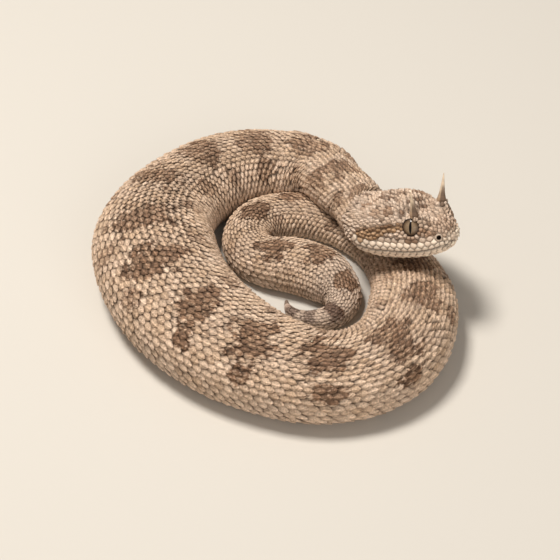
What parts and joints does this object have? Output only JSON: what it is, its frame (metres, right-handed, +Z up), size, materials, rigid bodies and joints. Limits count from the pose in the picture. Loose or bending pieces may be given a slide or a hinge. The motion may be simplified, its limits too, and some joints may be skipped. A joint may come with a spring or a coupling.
{
  "type": "coiled snake",
  "caption": "Life-size model of a desert horned viper lying in a flat, open coil with its broad horned head raised over the inner loop.",
  "frame": {"origin": "centre of the footprint, on the surface that the belly rests on", "axes": "+Z up from the floor, +Y the coil's long side, away from the horned head's side of view; the head points towards +X and a little -Y"},
  "size_m": [0.111, 0.123, 0.045],
  "materials": {
    "scaled_skin": "dry matt sand-coloured keeled scales with brown blotches",
    "horn": "smooth dull horn",
    "eye": "clear wet gloss over a grey-brown iris with an upright slit"
  },
  "bodies": {
    "root": {"head": "scaled_skin", "lower_jaw": "scaled_skin", "neck": "scaled_skin", "trunk_1": "scaled_skin", "trunk_2": "scaled_skin", "trunk_3": "scaled_skin", "trunk_4": "scaled_skin", "trunk_5": "scaled_skin", "trunk_6": "scaled_skin", "trunk_7": "scaled_skin", "trunk_8": "scaled_skin", "trunk_9": "scaled_skin", "trunk_10": "scaled_skin", "trunk_11": "scaled_skin", "tail": "scaled_skin", "tail_tip": "scaled_skin", "horn_left": "horn", "horn_right": "horn", "eye_left": "eye", "eye_right": "eye"}
  },
  "joints": []
}
